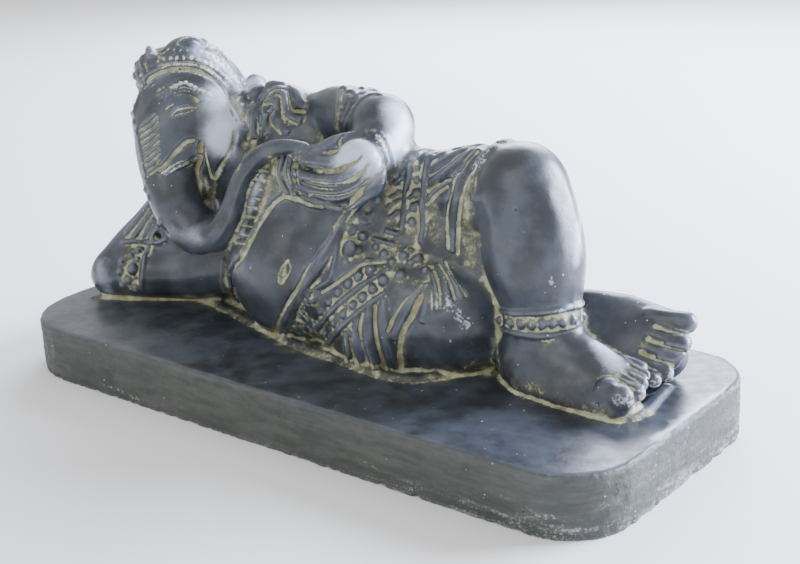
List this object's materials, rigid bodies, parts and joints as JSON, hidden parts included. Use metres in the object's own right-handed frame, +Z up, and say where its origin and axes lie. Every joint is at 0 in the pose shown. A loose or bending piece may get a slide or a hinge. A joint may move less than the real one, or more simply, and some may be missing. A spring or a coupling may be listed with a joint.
{
  "type": "reclining elephant-headed deity statue",
  "caption": "Cast stone statue of a crowned elephant-headed figure reclining on its side, head on hand and knee raised, on a low rounded plinth.",
  "frame": {"origin": "centre of the plinth's underside, on the surface it stands on", "axes": "+Z up; +X along the plinth from the head to the feet; the figure faces -Y"},
  "size_m": [0.44, 0.18, 0.2079],
  "materials": {
    "stone": "satin, pale deposits in the carving"
  },
  "bodies": {
    "root": {"reclining_ganesha": "stone"}
  },
  "joints": []
}
